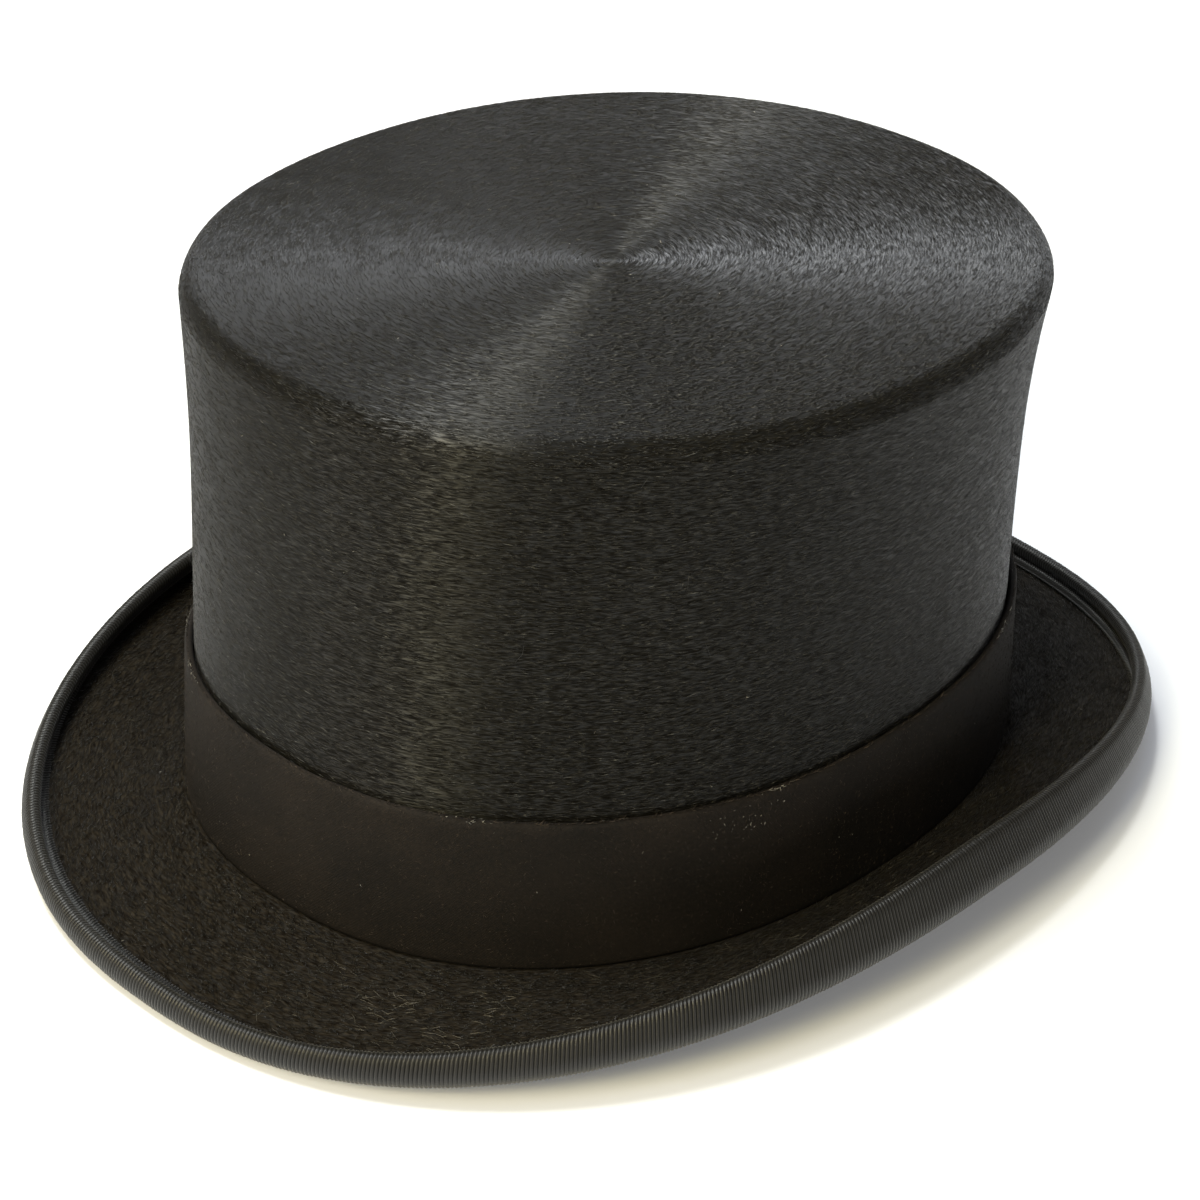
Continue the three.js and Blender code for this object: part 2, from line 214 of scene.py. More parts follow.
def capped_piece(name, rows, first, last, material, nodes=()):
    """A closed body whose profile runs from the point `first` on the axis to the point `last`."""
    rows = np.asarray(rows)
    k, n = rows.shape[:2]
    along, across = profile_marks(rows)
    j = np.arange(n)
    fans = [np.stack([np.full(n, k * n), (j + 1) % n, j], -1),
            np.stack([(k - 1) * n + j, (k - 1) * n + (j + 1) % n, np.full(n, k * n + 1)], -1)]
    points = np.concatenate([rows.reshape(-1, 3), [first, last]])
    marks = {"along": np.concatenate([along.reshape(-1, 3), [[1, 0, 0]] * 2]),
             "across": np.concatenate([across.ravel(), [0, across.max()]])}
    return build(name, points, [quads(k, n, False), *fans], material, nodes, marks)


def waves(phi, z, size, pairs):
    """A smooth uneven surface: a sum of a few waves round the hat and up it, about `size` high."""
    return size * sum(np.sin(turns * phi + rise * z + phase) for turns, rise, phase in pairs) / len(pairs)


UNEVEN = [(3, 0.02, 0.3), (5, -0.05, 1.9), (8, 0.04, 4.1), (13, -0.09, 2.2), (2, 0.11, 5.0)]


# ---- node materials ----

class Look:
    """A node material under construction: `add` makes a node, sets its values and links given sockets."""

    def __init__(self, name):
        self.material = bpy.data.materials.new(name)
        self.material.use_nodes = True
        self.tree = self.material.node_tree
        self.tree.nodes.clear()

    def add(self, kind, inputs=None, **settings):
        node = self.tree.nodes.new("ShaderNode" + kind)
        for key, value in settings.items():
            setattr(node, key, value)
        for key, value in (inputs or {}).items():
            socket = node.inputs[key]
            if isinstance(value, bpy.types.NodeSocket):
                self.tree.links.new(value, socket)
            else:
                socket.default_value = value
        return node

    def place(self):
        return self.add("TexCoord").outputs["Object"]

    def mark(self, name, field="Fac"):
        """A value that the mesh carries at its points."""
        return self.add("Attribute", attribute_name=name).outputs[field]

    def maths(self, operation, *values):
        return self.add("Math", dict(enumerate(values)), operation=operation).outputs[0]

    def plus(self, *values):
        return self.maths("ADD", *values)

    def times(self, *values):
        return self.maths("MULTIPLY", *values)

    def vector(self, operation, *values):
        keys = (0, "Scale") if operation == "SCALE" else range(len(values))
        return self.add("VectorMath", dict(zip(keys, values)), operation=operation).outputs["Vector"]

    def noise(self, vector, scale, detail=2.0, roughness=0.5, output="Fac"):
        return self.add("TexNoise", {"Vector": vector, "Scale": scale, "Detail": detail,
                                     "Roughness": roughness}).outputs[output]

    def streaks(self, place, plan, rise):
        """Noise stretched one way: `plan` scales both plan directions and `rise` is the third coordinate."""
        split = self.add("SeparateXYZ", {"Vector": place}).outputs
        spot = self.add("CombineXYZ", {"X": self.times(split["X"], plan), "Y": self.times(split["Y"], plan),
                                       "Z": rise(split["Z"])})
        return self.noise(spot.outputs["Vector"], 1.0)

    def mapped(self, value, low=0.0, high=1.0, to_low=0.0, to_high=1.0):
        return self.add("MapRange", {"Value": value, "From Min": low, "From Max": high,
                                     "To Min": to_low, "To Max": to_high}).outputs["Result"]

    def ramp(self, value, stops):
        node = self.add("ValToRGB", {"Fac": value})
        elements = node.color_ramp.elements
        while len(elements) < len(stops):
            elements.new(0.5)
        for element, (place, color) in zip(elements, stops):
            element.position = place
            element.color = (*color, 1)
        return node.outputs["Color"]

    def mixed(self, factor, a, b):
        return self.add("Mix", {"Factor": factor, "A": a, "B": b}, data_type="RGBA").outputs[2]

    def bump(self, height, strength, distance):
        node = self.add("Bump", {"Height": height, "Strength": strength, "Distance": distance})
        return node.outputs["Normal"]

    def finish(self, inputs):
        shader = self.add("BsdfPrincipled", inputs)
        self.add("OutputMaterial", {"Surface": shader.outputs["BSDF"]})
        return self.material


def grey(value):
    return value, value, value


def nap_material(name, dark, warm, cool, length, width, lift, spread, wander, rough, anisotropy, level,
                 sheen):
    """Brushed fur: dense dashes along the piece's `along` direction, each with its own colour and lift."""
    look = Look(name)
    place = look.place()
    across, along = look.mark("across"), look.mark("along", "Vector")
    split = look.add("SeparateXYZ", {"Vector": place}).outputs
    sway = look.noise(place, 90.0)

    def dashes(long, wide, waviness):
        return look.add("CombineXYZ", {
            "X": look.maths("DIVIDE", split["X"], long * MM),
            "Y": look.maths("DIVIDE", split["Y"], long * MM),
            "Z": look.plus(look.maths("DIVIDE", across, wide * MM), look.times(sway, waviness))
        }).outputs["Vector"]

    coarse = look.noise(dashes(length, width, 5.0), 1.0, 2.0, 0.7)
    fine = look.add("TexNoise", {"Vector": dashes(length * 0.8, width * 0.6, 9.0), "Scale": 1.0,
                                 "Detail": 1.0, "Roughness": 0.5}).outputs
    fibre = look.plus(look.times(coarse, 0.55), look.times(fine["Fac"], 0.45))
    hue = look.add("SeparateColor", {"Color": fine["Color"]}).outputs
    bright = look.mixed(look.mapped(hue["Green"], 0.4, 0.6), (*warm, 1), (*cool, 1))
    shade = look.mixed(look.mapped(fibre, 0.36, 0.66), (*dark, 1), bright)

    # The normal leans along the fibre by its lift, sideways by its turn, and wanders in broad patches.
    normal = look.add("NewGeometry").outputs["Normal"]
    beside = look.vector("CROSS_PRODUCT", normal, along)
    raised = look.vector("SCALE", along, look.times(look.maths("SUBTRACT", fibre, 0.5), lift))
    turned = look.vector("SCALE", beside, look.times(look.maths("SUBTRACT", hue["Blue"], 0.5), spread))
    patch = look.noise(place, 160.0, 3.0, 0.6, "Color")
    drift = look.vector("SCALE", look.vector("SUBTRACT", patch, grey(0.5)), wander)
    leaning = look.vector("ADD", raised, look.vector("ADD", drift, turned))
    napped = look.vector("NORMALIZE", look.vector("ADD", normal, leaning))
    heading = look.vector("ADD", along, turned)
    tangent = look.vector("NORMALIZE", look.vector("CROSS_PRODUCT", napped, heading))
    shine = look.ramp(fibre, [(0.41, grey(0.04)), (0.52, grey(0.32)), (0.62, grey(1.0))])
    return look.finish({
        "Base Color": shade, "Roughness": look.mapped(fibre, 0.3, 0.7, rough + 0.08, rough - 0.08),
        "Normal": napped, "Specular Tint": shine, "Tangent": tangent, "Anisotropic": anisotropy,
        "Specular IOR Level": level, "Sheen Weight": sheen, "Sheen Roughness": 0.4,
        "Sheen Tint": (0.8, 0.8, 0.78, 1)})


def cloth_material(name, dark, light, scale, rough, sheen, level):
    """Woven or fulled cloth: a fine two-way weave under a mottled surface."""
    look = Look(name)
    place = look.place()
    weave = look.times(*(look.maths("SINE", look.times(look.mark(way), scale))
                         for way in ("across", "round")))
    mottle = look.noise(place, 1500.0, 4.0, 0.7)
    broad = look.noise(place, 45.0)
    shade = look.ramp(look.times(mottle, look.plus(broad, 0.5)), [(0.3, dark), (0.7, light)])
    normal = look.bump(look.plus(look.times(weave, 0.35), mottle), 0.3, 0.0004)
    return look.finish({"Base Color": shade, "Roughness": rough, "Normal": normal,
                        "Specular IOR Level": level, "Sheen Weight": sheen, "Sheen Roughness": 0.5})


def ribbon_material(name, dark, light, rough):
    """Grosgrain: the ribs are modelled, and threads lie across them with a slight unevenness."""
    look = Look(name)
    place, across, rib = look.place(), look.mark("across"), look.mark("rib")
    thread = look.streaks(place, 900.0, lambda z: look.times(across, 5000.0))
    wear = look.noise(place, 60.0, 3.0)
    # The rib mark lightens the crests and darkens the valleys in colour: painted shade in the grooves between
    # the ribs.
    tone = look.plus(look.times(rib, 0.6), look.times(look.plus(thread, wear), 0.25))
    shade = look.ramp(tone, [(0.15, dark), (0.8, light)])
    # Specular tint falls to 0.08 in the valleys: painted shade of the grooves on the gloss.
    painted_groove_shade = look.ramp(rib, [(0.0, grey(0.08)), (0.75, grey(1.0))])
    return look.finish({"Base Color": shade, "Roughness": rough, "Normal": look.bump(thread, 0.25, 0.0002),
                        "Specular Tint": painted_groove_shade, "Specular IOR Level": 0.42, "Sheen Weight": 0.14,
                        "Sheen Roughness": 0.4})


def leather_material(name, dark, light):
    look = Look(name)
    place = look.place()
    cells = look.add("TexVoronoi", {"Vector": place, "Scale": 1400.0}, feature="SMOOTH_F1")
    pores = cells.outputs["Distance"]
    wrinkle = look.noise(place, 220.0, 6.0, 0.6)
    stain = look.noise(place, 25.0, 3.0)
    shade = look.ramp(look.times(wrinkle, look.plus(stain, 0.5)), [(0.3, dark), (0.7, light)])
    return look.finish({"Base Color": shade, "Roughness": look.mapped(wrinkle, to_low=0.42, to_high=0.62),
                        "Normal": look.bump(look.plus(pores, wrinkle), 0.35, 0.0003),
                        "Specular IOR Level": 0.4})


def satin_material(name, dark, light):
    """Satin: floats run up the piece, so the gloss spreads across them."""
    look = Look(name)
    place, along = look.place(), look.mark("along", "Vector")
    floats = look.streaks(place, 3500.0, lambda z: look.times(z, 500.0))
    broad = look.noise(place, 30.0, 3.0)
    shade = look.ramp(look.times(look.plus(floats, broad), 0.5), [(0.3, dark), (0.7, light)])
    return look.finish({"Base Color": shade, "Roughness": 0.38, "Normal": look.bump(floats, 0.2, 0.0001),
                        "Anisotropic": 0.6, "Tangent": along, "Specular IOR Level": 0.5,
                        "Sheen Weight": 0.2})


def plain_woven(name, dark, light, scale):
    """Stiffened linen and other hidden cloths: a coarse weave from noise and one set of bars."""
    look = Look(name)
    place = look.place()
    fine = look.noise(place, scale, 4.0, 0.6)
    bars = look.add("TexWave", {"Vector": place, "Scale": scale * 0.4, "Distortion": 1.0},
                    wave_type="BANDS", bands_direction="Z").outputs["Fac"]
    shade = look.ramp(look.times(look.plus(fine, bars), 0.5), [(0.25, dark), (0.75, light)])
    return look.finish({"Base Color": shade, "Roughness": 0.75, "Normal": look.bump(bars, 0.3, 0.0003)})


def hair_material(name, stops, rough, level):
    """Loose hairs and threads: each has one tone of its own, with a little darkening along its length."""
    look = Look(name)
    tone, uneven = look.mark("tone"), look.noise(look.place(), 900.0)
    value = look.times(tone, look.plus(look.times(uneven, 0.4), 0.8))
    return look.finish({"Base Color": look.ramp(value, stops), "Roughness": rough,
                        "Specular IOR Level": level})


crown_nap = nap_material(
    "crown_nap", (0.0036, 0.0031, 0.0023), (0.0125, 0.0112, 0.0076), (0.0090, 0.0095, 0.0100), length=3.0,
    width=0.40, lift=0.62, spread=0.35, wander=0.11, rough=0.46, anisotropy=1.0, level=0.38, sheen=0.0)
brim_nap = nap_material(
    "brim_nap", (0.0045, 0.0033, 0.0022), (0.024, 0.0195, 0.0135), (0.015, 0.0142, 0.0132), length=2.4,
    width=0.60, lift=0.8, spread=0.8, wander=0.6, rough=0.7, anisotropy=0.5, level=0.05, sheen=0.02)
under_nap = nap_material(
    "under_nap", (0.003, 0.0026, 0.002), (0.012, 0.011, 0.009), (0.010, 0.010, 0.010), length=1.6,
    width=0.5, lift=0.5, spread=0.4, wander=0.3, rough=0.72, anisotropy=0.4, level=0.15, sheen=0.08)
band_cloth = cloth_material("band_cloth", (0.0014, 0.0009, 0.0005), (0.0125, 0.0088, 0.0062), 9000.0, 0.85,
                            0.0, level=0.24)
grosgrain = ribbon_material("grosgrain", (0.0003, 0.0002, 0.0002), (0.0085, 0.0079, 0.0066), 0.42)
bow_ribbon = ribbon_material("bow_ribbon", (0.008, 0.008, 0.008), (0.03, 0.03, 0.03), 0.45)
leather = leather_material("leather", (0.12, 0.062, 0.03), (0.30, 0.175, 0.09))
satin = satin_material("satin", (0.50, 0.46, 0.38), (0.72, 0.68, 0.58))
linen = plain_woven("linen", (0.30, 0.26, 0.19), (0.55, 0.50, 0.40), 2500.0)
shellac_linen = plain_woven("shellac_linen", (0.13, 0.08, 0.04), (0.30, 0.21, 0.12), 1800.0)
CROWN_HAIRS = [(0.0, (0.005, 0.0042, 0.003)), (0.55, (0.016, 0.0145, 0.011)), (0.85, (0.034, 0.031, 0.024)),
               (0.93, (0.032, 0.034, 0.037)), (1.0, (0.13, 0.13, 0.12))]
crown_hair = hair_material("crown_hair", CROWN_HAIRS, 0.30, 0.55)
BRIM_HAIRS = [(0.0, (0.004, 0.0033, 0.0023)), (0.6, (0.012, 0.0105, 0.0075)), (0.88, (0.038, 0.034, 0.025)),
              (1.0, (0.17, 0.155, 0.125))]
brim_hair = hair_material("brim_hair", BRIM_HAIRS, 0.30, 0.42)
band_fuzz = hair_material("band_fuzz", [(0.0, (0.003, 0.002, 0.0014)), (0.6, (0.018, 0.013, 0.009)),
                                        (1.0, (0.09, 0.07, 0.055))], 0.6, 0.2)
pale_lint = hair_material("pale_lint", [(0.0, (0.10, 0.095, 0.08)), (1.0, (0.6, 0.58, 0.52))], 0.6, 0.4)
stitch_thread = hair_material("stitch_thread", [(0.0, (0.28, 0.22, 0.14)), (1.0, (0.5, 0.43, 0.3))], 0.5, 0.4)
reed_thread = hair_material("reed_thread", [(0.0, (0.35, 0.31, 0.24)), (1.0, (0.6, 0.56, 0.46))], 0.5, 0.4)


# ---- crown ----

def standing_z(phi, offset, depth):
    return on_plate(brim_section(phi), offset, 0)[1] + depth


def wall_point(phi, z, offset=0):
    return metres(phi, wall_radius(phi, z, offset) + waves(phi, z, 0.18, UNEVEN), z)


def wall_rings(phi, offset, levels):
    return [wall_point(phi, z, offset) for z in levels]


def edge_point(phi, turn, offset=0):
    """The rounded edge, where the nap of the side meets the nap of the tip."""
    radius = EDGE_RADIUS + offset
    rho = wall_radius(phi, EDGE_Z, radius * np.cos(turn) - EDGE_RADIUS)
    wobble = waves(phi, EDGE_Z, 0.18, UNEVEN)
    return metres(phi, rho + wobble * np.cos(turn), EDGE_Z + radius * np.sin(turn) + 0.5 * wobble)


def tip_point(phi, share, offset=0):
    """Rings that are the rim's oval at share 1 and close in on the swirl of the nap."""
    rim = wall_radius(phi, EDGE_Z, -EDGE_RADIUS)
    x = SWIRL[0] * (1 - share) + rim * share * np.cos(phi)
    y = SWIRL[1] * (1 - share) + rim * share * np.sin(phi)
    rise = TIP_RISE * (1 - share ** 2) + 0.09 * waves(phi, EDGE_Z, 1, UNEVEN) * share ** 2
    rise = rise + 0.10 * share * (1 - share) * np.sin(3 * phi + 9 * share)
    return np.stack([x, y, CROWN_HEIGHT + offset + rise + LIFT + 0 * phi], -1) * MM


def crown_felt():
    """The profile runs from the swirl down the inside, under the foot and up the outside to the swirl."""
    phi = stations(360)

    def foot(offset):
        return metres(phi, wall_radius(phi, 0, offset), standing_z(phi, offset, FOOT_DEPTH))

    outer = [foot(0), *wall_rings(phi, 0, np.linspace(4, EDGE_Z - 2, 56))]
    outer += [edge_point(phi, math.radians(d)) for d in np.linspace(0, 90, 10)]
    outer += [tip_point(phi, s) for s in (1 - np.linspace(0.02, 0.985, 46))]
    inner = [tip_point(phi, s, -HOOD) for s in (0.02, 0.25, 0.5, 0.75, 1)]
    inner += [edge_point(phi, math.radians(d), -HOOD) for d in (70, 45, 20)]
    inner += wall_rings(phi, -HOOD, np.linspace(EDGE_Z - 2, 6, 14))
    under = np.array([*SWIRL, CROWN_HEIGHT + TIP_RISE - HOOD + LIFT]) * MM
    top = np.array([*SWIRL, CROWN_HEIGHT + TIP_RISE + LIFT]) * MM
    capped_piece("crown_felt_body", inner + [foot(-HOOD)] + outer, under, top, crown_nap,
                 ["crown_felt"])


# ---- brim ----

def brim_layer(name, reach, low, high, material, node, rough_top):
    """One layer of the brim from its inner reach to the lip; the upper face can be slightly lumpy."""
    phi = stations(480)
    s = brim_section(phi)

    def face(depth, lumps):
        rings = []
        for share in np.linspace(0, 1, 20):
            along = reach + (s["plate"] - reach) * share
            uneven = waves(phi, 60 * share, lumps, UNEVEN) * math.sin(math.pi * share)
            rings.append(metres(phi, *on_plate(s, along, depth + uneven)))
        rings += [metres(phi, *on_fold(s, share, depth)) for share in np.linspace(0.15, 1, 7)]
        rings += [metres(phi, *on_lip(s, s["lip"] * share, depth)) for share in (0.5, 1)]
        return rings

    rows = face(low, 0) + face(high, rough_top)[::-1]
    return ring_piece(name, rows, material, "brim_felt", [node])


def binding():
    """Grosgrain folded over the lip, with its ribs modelled across the ribbon."""
    phi = stations(RIBS * len(RIB_PROFILE))
    even = stations(2000)
    track = metres(even, *on_lip(brim_section(even), 0, 0))
    length = np.concatenate([[0], np.cumsum(np.linalg.norm(np.roll(track, -1, 0) - track, axis=1))])
    phi = np.interp(np.linspace(0, length[-1], len(phi), endpoint=False), length,
                    np.append(even, 2 * math.pi))
    s = brim_section(phi)
    wave = np.tile(RIB_PROFILE, RIBS) * np.repeat(1 + 0.25 * (rng.random(RIBS) - 0.5), len(RIB_PROFILE))
    rib = RIB_HEIGHT * wave
    ease = waves(phi, 0, 0.10, UNEVEN)
    upper, lower = RIBBON["upper"], RIBBON["lower"]
    half = (upper - lower) / 2
    outer = [back_from_lip(s, d, lower - RIBBON_THICK - rib + ease * (d > 0.5) * 0.3)
             for d in np.linspace(RIBBON["outer_leg"], 0, 13)]
    outer += [ribbon_cap(s, d, half + RIBBON_THICK + rib) for d in (144, 108, 72, 36)]
    outer += [back_from_lip(s, d, upper + RIBBON_THICK + rib) for d in np.linspace(0, RIBBON["inner_leg"], 6)]
    inner = [back_from_lip(s, d, upper) for d in (RIBBON["inner_leg"], 2.7, 0)]
    inner += [ribbon_cap(s, d, half) for d in (60, 120)]
    inner += [back_from_lip(s, d, lower) for d in np.linspace(0, RIBBON["outer_leg"], 15)]
    # The ribs' wave goes to the material, which paints the valleys darker as shade in the grooves; the inside
    # rows get 0, the darkest.
    rib_shade_marks = np.concatenate([np.tile(wave, (len(outer), 1)), np.zeros((len(inner), len(phi)))])
    piece = ring_piece("brim_binding_ribbon", [metres(phi, *p) for p in outer + inner], grosgrain,
                       "grosgrain", ["brim_binding"], rib=rib_shade_marks)


# ---- band ----

def band_top(phi):
    return 37 + 2 * np.sin(phi) ** 2 + waves(phi, 0, 0.25, [(7, 0, 1), (12, 0, 4), (19, 0, 2), (31, 0, 0.5)])


def hat_band():
    phi = stations(720)
    top = band_top(phi)
    bottom = standing_z(phi, *BAND_FOOT)

    def face(offset, shares, bulge=0.0):
        rings = []
        for share in shares:
            z = bottom + (top - bottom) * share
            lumps = waves(phi, z, 0.14, UNEVEN) + bulge * math.sin(math.pi * share)
            rings.append(metres(phi, wall_radius(phi, z, offset) + lumps * (offset > 1), z))
        return rings

    outer = face(2.0, [0.0]) + face(2.2, np.linspace(0.02, 0.97, 22), 0.1)
    outer += face(1.9, [0.993]) + face(1.2, [1.004])
    inner = face(0.45, [0.985, 0.7, 0.4, 0.1, 0.0])
    piece = ring_piece("hat_band_cloth", outer + inner, band_cloth, "band_cloth", ["hat_band"],
                       round=phi * 0.1)


# ---- loose fibres ----

def prism(points_at, count, rings, tips, material, name, tone):
    """Many closed three-sided spikes: `rings` cross-sections each, with a point at one or both ends."""
    size = 3 * rings + tips
    points = np.stack(points_at, 1).reshape(-1, 3)
    base = np.arange(count)[:, None, None] * size
    walls = [[3 * r + c, 3 * r + (c + 1) % 3, 3 * r + 3 + (c + 1) % 3, 3 * r + 3 + c]
             for r in range(rings - 1) for c in range(3)]
    last = 3 * (rings - 1)
    ends = [[last + c, last + (c + 1) % 3, 3 * rings] for c in range(3)]
    ends += [[0, 2, 1]] if tips == 1 else [[(c + 1) % 3, c, 3 * rings + 1] for c in range(3)]
    faces = [(base + np.array(ends)).reshape(-1, 3)[:, ::-1]]
    if walls:
        faces.insert(0, (base + np.array(walls)).reshape(-1, 4)[:, ::-1])
    return build(name, points, faces, material, marks={"tone": np.repeat(tone, size)})


def corners(centre, radius, side, up):
    """The three corners of a cross-section; side, up and the way ahead make a right-handed set."""
    turns = [2 * math.pi * c / 3 + math.pi / 2 for c in range(3)]
    return [centre + radius * (math.cos(t) * side + math.sin(t) * up) for t in turns]


def hair_tone(count, paleness=2.0):
    return rng.random(count) ** paleness


def laid_hairs(name, roots, heading, normal, lengths, radius, material, tone):
    """Hairs brushed flat: spindles with both ends in the felt and the middle just proud of it."""
    side = np.cross(normal, heading)
    lengths = lengths[:, None]
    middle = roots + 0.3 * radius * normal
    start = middle - heading * lengths * 0.5 - radius * normal
    end = middle + heading * lengths * 0.5 - 0.2 * radius * normal
    points = [*corners(middle, radius, -side, normal), end, start]
    return prism(points, len(roots), 1, 2, material, name, tone)


def raised_hairs(name, roots, heading, normal, lengths, radius, rise, material, tone):
    """Hairs that leave the surface at their roots, arch over and end in the air."""
    count = len(roots)
    side = np.cross(normal, heading)
    lengths = lengths[:, None]
    rise = rise[:, None]
    sway = rng.normal(0, 0.12, (count, 1)) * lengths * side
    half = roots + heading * lengths * 0.5 + normal * rise * lengths
    tip = roots + heading * lengths + normal * rise * lengths * rng.uniform(0.3, 1.5, (count, 1)) + sway
    points = [*corners(roots - ROOT_DEPTH * normal, radius, -side, normal),
              *corners(half, 0.8 * radius, -side, normal), tip]
    return prism(points, count, 2, 1, material, name, tone)


def threads(name, starts, ends, up, radius, height, material):
    """Stitches: short arched threads from hole to hole."""
    ahead = unit(ends - starts)
    side = np.cross(up, ahead)
    centres = [starts + (ends - starts) * share + up * height * math.sin(math.pi * share)
               for share in (0.02, 0.3, 0.7, 0.98)]
    rings = [c for centre in centres for c in corners(centre, radius, -side, up)]
    tips = [ends - up * radius, starts - up * radius]
    return prism([*rings, *tips], len(starts), 4, 2, material, name, hair_tone(len(starts), 1.0))


def unit(v):
    return v / np.maximum(np.linalg.norm(v, axis=-1, keepdims=True), 1e-12)


def surface(point_at, u, v, step=0.01):
    """Points of a surface with its unit tangents along both parameters and its normal."""
    here = point_at(u, v)
    first = unit(point_at(u + step, v) - point_at(u - step, v))
    second = unit(point_at(u, v + step) - point_at(u, v - step))
    return here, first, second, unit(np.cross(first, second))


def brim_point(phi, share):
    s = brim_section(phi)
    return metres(phi, *on_plate(s, 2.6 + (s["plate"] - 2.6) * share, 1.2))


def headed(first, second, angle):
    return unit(first * np.cos(angle)[:, None] + second * np.sin(angle)[:, None])


def around(count):
    return rng.uniform(0, 2 * math.pi, count)


def laid_nap(name, count, point_at, span, lengths, radius, material, drift=None, paleness=2.0):
    """Hairs laid all over a surface. `span` bounds its second parameter. `drift` is the mean and spread of
    the angle from the way round the hat; without it they lie every way."""
    phi = around(count)
    here, first, second, normal = surface(point_at, phi, rng.uniform(*span, count))
    angle = rng.normal(*drift, count) if drift else rng.uniform(-math.pi, math.pi, count)
    return laid_hairs(name, here, headed(first, second, angle), normal, rng.uniform(*lengths, count) * MM,
                      radius * MM, material, hair_tone(count, paleness))


def raised_nap(name, point_at, phi, v, drift, lengths, radius, rise, material, paleness, flip=1,
               step=0.01, shade=1.0):
    """Loose hairs rooted at given places. `flip` is -1 where the surface's two parameters face it inwards."""
    count = len(phi)
    here, first, second, normal = surface(point_at, phi, v, step)
    heading = headed(first, second, rng.normal(*drift, count))
    return raised_hairs(name, here, heading, flip * normal, rng.uniform(*lengths, count) * MM, radius * MM,
                        rng.uniform(*rise, count), material, hair_tone(count, paleness) * shade)


def crown_tip_nap(count):
    phi = around(count)
    share = np.sqrt(rng.uniform(0.0002, 1, count))
    here, first, second, normal = surface(tip_point, phi, share, TIP_STEP)
    heading = headed(first, second, rng.normal(0.0, 0.13, count))
    lengths = np.minimum(rng.uniform(1.6, 4.0, count), 0.6 + 60 * share) * MM
    laid_hairs("crown_tip_nap", here, heading, -normal, lengths, CROWN_HAIR * MM, crown_hair,
               hair_tone(count))


def stray_hairs(count):
    """A few hairs that the brush missed, standing off the crown."""
    phi = around(count)
    z = rng.uniform(40, EDGE_Z + 2, count)
    raised_nap("crown_side_strays", wall_point, phi, z, (0.1, 0.9), (2, 6), 0.03, (0.03, 0.22),
               crown_hair, 0.5)
    share = np.sqrt(rng.uniform(0.01, 1, count))
    raised_nap("crown_tip_strays", tip_point, phi, share, (0.1, 0.7), (2, 5), 0.03, (0.02, 0.15),
               crown_hair, 0.5, -1, TIP_STEP)


PAINTED_GLINT_PATCH = math.radians(-68) + 2 * math.pi    # plan angle of a patch of paler brim hairs, a painted highlight where the nap faces the warm lamps


def brim_top_nap(count):
    phi = around(count)
    share = rng.uniform(0, 0.97, count)
    thin = 0.72 + 0.28 * np.sin(9 * phi + 6 * share) * np.sin(31 * phi - 4 * share)
    # Hairs in the patch get up to 0.45 more tone: a painted highlight of the nap's sheen. `thin` clumps the
    # tone at random.
    painted_glint = np.exp(-(((phi - PAINTED_GLINT_PATCH) / 0.20) ** 2) - (((share - 0.50) / 0.35) ** 2))
    raised_nap("brim_top_nap", brim_point, phi, share, (0.30, 0.45), (1.8, 5.5), 0.05, (0.01, 0.15),
               brim_hair, 1.2, -1, shade=thin + 0.45 * painted_glint)


def brim_under_point(phi, share):
    s = brim_section(phi)
    reach = s["plate"] - 12
    return metres(phi, *on_plate(s, reach * share, -1.1))


def band_point(phi, share):
    bottom = standing_z(phi, *BAND_FOOT)
    z = bottom + (band_top(phi) - bottom) * share
    rho = wall_radius(phi, z, 2.2) + waves(phi, z, 0.14, UNEVEN) + 0.1 * np.sin(math.pi * share)
    return metres(phi, rho, z)


def beside_band(offset):
    return lambda phi, z: metres(phi, wall_radius(phi, z, offset), z)


def band_edge_fibres(count):
    """Frayed ends and dust caught in the gap along the top of the band."""
    phi = around(count)
    raised_nap("hat_band_frayed_edge", beside_band(1.6), phi, band_top(phi), (0.5, 0.5), (0.6, 2.2), 0.05,
               (0, 0.3), band_fuzz, 1.0)
    caught = np.concatenate([rng.normal(centre, 0.035, 14) for centre in DUST_CENTRES])
    top = band_top(caught) + rng.uniform(-0.4, 0.5, len(caught))
    raised_nap("hat_band_dust", beside_band(1.9), caught, top, (0.3, 0.9), (0.3, 1.3), 0.06,
               (0, 0.4), pale_lint, 1.5)


def specks():
    """Specks of lint on the tip, the side, the band and the brim, and a cluster on the band."""
    groups = []

    def scatter(point, phi, v, flip):
        here, first, second, normal = surface(point, phi, v, TIP_STEP)
        groups.append((here, headed(first, second, rng.uniform(-math.pi, math.pi, len(phi))), flip * normal))

    for point, low, high, flip, count in ((tip_point, 0.1, 0.97, -1, 40), (wall_point, 40, 120, 1, 46),
                                          (band_point, 0.1, 0.95, 1, 36), (brim_point, 0.05, 0.9, -1, 24)):
        phi = around(count)
        scatter(point, phi, rng.uniform(low, high, count), flip)
    cluster = rng.normal(-0.50, 0.05, 30)
    scatter(band_point, cluster, np.clip(rng.normal(0.86, 0.07, 30), 0, 0.98), 1)
    here, heading, normal = (np.concatenate(part) for part in zip(*groups))
    count = len(here)
    raised_hairs("lint", here, heading, normal, rng.uniform(0.25, 0.9, count) * MM, 0.07 * MM,
                 rng.uniform(0, 0.3, count), pale_lint, hair_tone(count, 1.0))


# ---- sweatband, lining and ribbon ----

